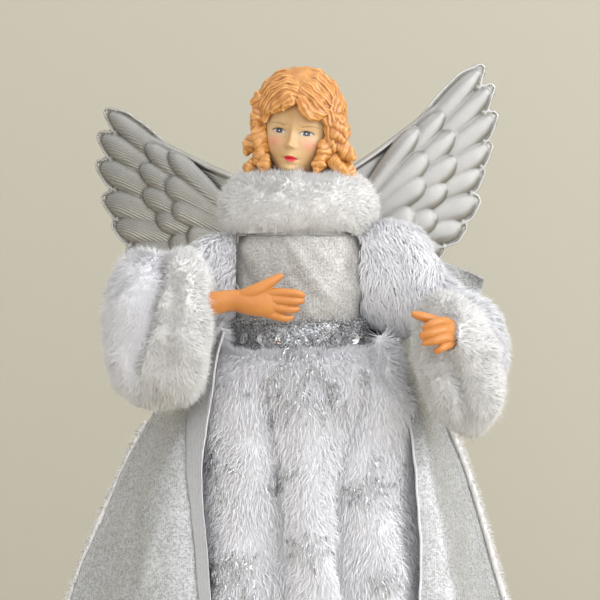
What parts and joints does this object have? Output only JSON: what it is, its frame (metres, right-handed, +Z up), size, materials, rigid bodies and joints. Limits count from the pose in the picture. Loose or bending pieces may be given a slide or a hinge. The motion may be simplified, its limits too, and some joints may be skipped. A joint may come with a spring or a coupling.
{
  "type": "angel tree topper",
  "caption": "Angel tree topper: doll in a fur and silver lame gown over a hollow cone that slips onto a tree tip, with posable head, arms, hands and wings.",
  "frame": {"origin": "middle of the hem on the ground, on the axis of the hollow cone", "axes": "+Z up, +X to the right of a person facing the angel, the angel faces -Y"},
  "size_m": [0.2761, 0.1912, 0.4002],
  "materials": {
    "orange_vinyl": "warm apricot vinyl, softly polished, painted curls",
    "face_paint": "ivory skin paint over vinyl, with painted eyes, lips and blush",
    "white_plush": "short dense white plush",
    "long_fur": "long cool white pile with silver foil prints",
    "silver_lame": "fine silver metallic weave with a sparkle",
    "wing_foil": "embossed and padded silver metallic cloth",
    "lurex_braid": "crocheted silver tinsel yarn",
    "mirror_sequin": "mirror-silvered disc",
    "grey_card": "plain stiff card",
    "white_foam": "expanded foam",
    "wire": "galvanised steel wire",
    "pine": "plain turned dowel"
  },
  "bodies": {
    "figure": {"base_cone": "grey_card", "torso_form": "white_foam", "neck_peg": "pine", "shoulder_wire": "wire", "bodice": "silver_lame", "belt_braid": "lurex_braid", "collar": "white_plush", "skirt": "long_fur", "coat_back": "silver_lame", "coat_left_panel": "silver_lame", "coat_right_panel": "silver_lame", "coat_left_trim": "white_plush", "coat_right_trim": "white_plush", "coat_left_flounce": "silver_lame", "coat_right_flounce": "silver_lame", "wing_plate": "grey_card", "left_wing_post": "wire", "right_wing_post": "wire", "belt_sequin_1": "mirror_sequin", "belt_sequin_2": "mirror_sequin", "belt_sequin_3": "mirror_sequin", "belt_sequin_4": "mirror_sequin", "belt_sequin_5": "mirror_sequin", "belt_sequin_6": "mirror_sequin", "belt_sequin_7": "mirror_sequin"},
    "head": {"head": "face_paint", "hair": "orange_vinyl"},
    "left_arm": {"left_arm_wire": "wire", "left_sleeve": "long_fur", "left_cuff": "white_plush"},
    "left_hand": {"left_hand": "orange_vinyl"},
    "right_arm": {"right_arm_wire": "wire", "right_sleeve": "long_fur", "right_cuff": "white_plush"},
    "right_hand": {"right_hand": "orange_vinyl"},
    "left_wing": {"left_wing": "wing_foil"},
    "right_wing": {"right_wing": "wing_foil"}
  },
  "joints": [
    {"name": "head_turn", "type": "hinge", "parent": "figure", "child": "head", "pos_m": [-0.004, 0, 0.318], "axis": [0.1392, 0, 0.9903], "range_deg": [-25, 25]},
    {"name": "left_arm_raise", "type": "hinge", "parent": "figure", "child": "left_arm", "pos_m": [-0.038, 0, 0.296], "axis": [-1, 0, 0], "range_deg": [0, 30]},
    {"name": "left_hand_twist", "type": "hinge", "parent": "left_arm", "child": "left_hand", "pos_m": [-0.048, -0.05, 0.266], "axis": [0.9945, 0.1045, 0], "range_deg": [-20, 20]},
    {"name": "right_arm_raise", "type": "hinge", "parent": "figure", "child": "right_arm", "pos_m": [0.038, 0, 0.296], "axis": [-1, 0, 0], "range_deg": [0, 30]},
    {"name": "right_hand_twist", "type": "hinge", "parent": "right_arm", "child": "right_hand", "pos_m": [0.093, -0.043, 0.25], "axis": [-0.4226, -0.9063, 0], "range_deg": [-15, 15]},
    {"name": "left_wing_fold", "type": "hinge", "parent": "figure", "child": "left_wing", "pos_m": [-0.014, 0.04138, 0.297], "axis": [0, 0, -1], "range_deg": [-28, 28]},
    {"name": "right_wing_fold", "type": "hinge", "parent": "figure", "child": "right_wing", "pos_m": [0.014, 0.04138, 0.297], "axis": [0, 0, 1], "range_deg": [-10, 45]}
  ]
}
